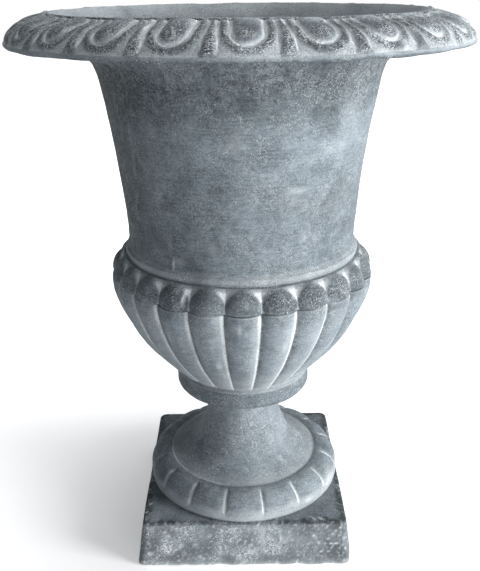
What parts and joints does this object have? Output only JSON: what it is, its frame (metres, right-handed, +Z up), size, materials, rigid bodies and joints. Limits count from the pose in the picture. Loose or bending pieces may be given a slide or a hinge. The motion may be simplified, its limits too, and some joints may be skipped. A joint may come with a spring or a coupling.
{
  "type": "urn planter",
  "caption": "Campana urn planter: bell with rolled carved rim on a gadrooned bowl, collar, trumpet foot ringed with lobes and a square plinth, held by a hidden tie rod.",
  "frame": {"origin": "middle of the plinth's underside, on the ground", "axes": "+Z up along the urn's own axis, +X to the right and -Y to the front, both square to the plinth's sides"},
  "size_m": [0.4717, 0.4716, 0.6094],
  "materials": {
    "weathered_casting": "sand-cast, blue-grey aged coat rubbed with chalk",
    "joint_putty": "rough hard filler",
    "zinc_plated_steel": "dull zinc plate",
    "black_rubber": "matt moulded rubber"
  },
  "bodies": {
    "urn": {"rim_and_bell": "weathered_casting", "gadrooned_bowl": "weathered_casting", "lobed_foot": "weathered_casting", "plinth": "weathered_casting", "seam_putty": "joint_putty", "neck_putty": "joint_putty", "foot_putty": "joint_putty", "tie_rod": "zinc_plated_steel", "rod_top_nut": "zinc_plated_steel", "rod_top_washer": "zinc_plated_steel", "rod_top_seal": "black_rubber", "clamp_bar": "zinc_plated_steel", "rod_bottom_washer": "zinc_plated_steel", "rod_bottom_nut": "zinc_plated_steel"},
    "plug": {"drain_plug": "black_rubber"}
  },
  "joints": [
    {"name": "drain_plug_pull", "type": "slide", "parent": "urn", "child": "plug", "axis": [0, 0, 1], "range_m": [0, 0.08]}
  ]
}
